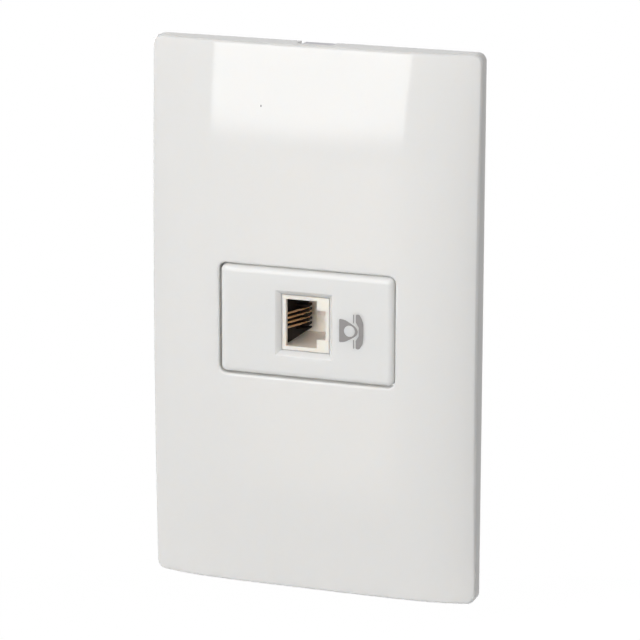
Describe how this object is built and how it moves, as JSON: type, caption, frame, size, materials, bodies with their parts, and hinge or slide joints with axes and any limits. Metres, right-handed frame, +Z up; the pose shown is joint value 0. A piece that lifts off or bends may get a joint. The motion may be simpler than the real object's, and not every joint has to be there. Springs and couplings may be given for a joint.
{
  "type": "telephone wall socket",
  "caption": "White domed wall plate for a 4 x 2 inch box, with one telephone jack module on a snap-in support frame and screw terminals behind.",
  "frame": {"origin": "midway between the two box-screw slots, in the plane of the support frame's back, which is the wall's surface", "axes": "+Z up along the plate's long side, +Y from the front into the wall box, +X to the right seen from the front"},
  "size_m": [0.073, 0.0288, 0.118],
  "materials": {
    "plate_white": "polished white moulded plastic",
    "frame_white": "matt white moulded plastic",
    "module_white": "smooth white moulded plastic",
    "jack_cream": "natural cream nylon",
    "carrier_black": "black moulded nylon",
    "contact_gold": "gold-coloured plated spring wire",
    "board_green": "green lacquered glass-fibre board",
    "terminal_grey": "grey moulded plastic",
    "cage_nickel": "nickel-plated",
    "tongue_tin": "tin-plated",
    "screw_steel": "zinc-plated"
  },
  "bodies": {
    "root": {"board_screw_1": "screw_steel", "board_screw_2": "screw_steel", "circuit_board": "board_green", "contact_carrier": "carrier_black", "contact_wire_1": "contact_gold", "contact_wire_2": "contact_gold", "contact_wire_3": "contact_gold", "contact_wire_4": "contact_gold", "cover_plate": "plate_white", "jack_housing": "jack_cream", "module_housing": "module_white", "support_frame": "frame_white", "terminal_body": "terminal_grey", "terminal_cage_1": "cage_nickel", "terminal_cage_2": "cage_nickel", "terminal_cage_3": "cage_nickel", "terminal_cage_4": "cage_nickel", "terminal_screw_1": "screw_steel", "terminal_screw_2": "screw_steel", "terminal_screw_3": "screw_steel", "terminal_screw_4": "screw_steel", "terminal_tongue_1": "tongue_tin", "terminal_tongue_2": "tongue_tin", "terminal_tongue_3": "tongue_tin", "terminal_tongue_4": "tongue_tin"}
  },
  "joints": []
}
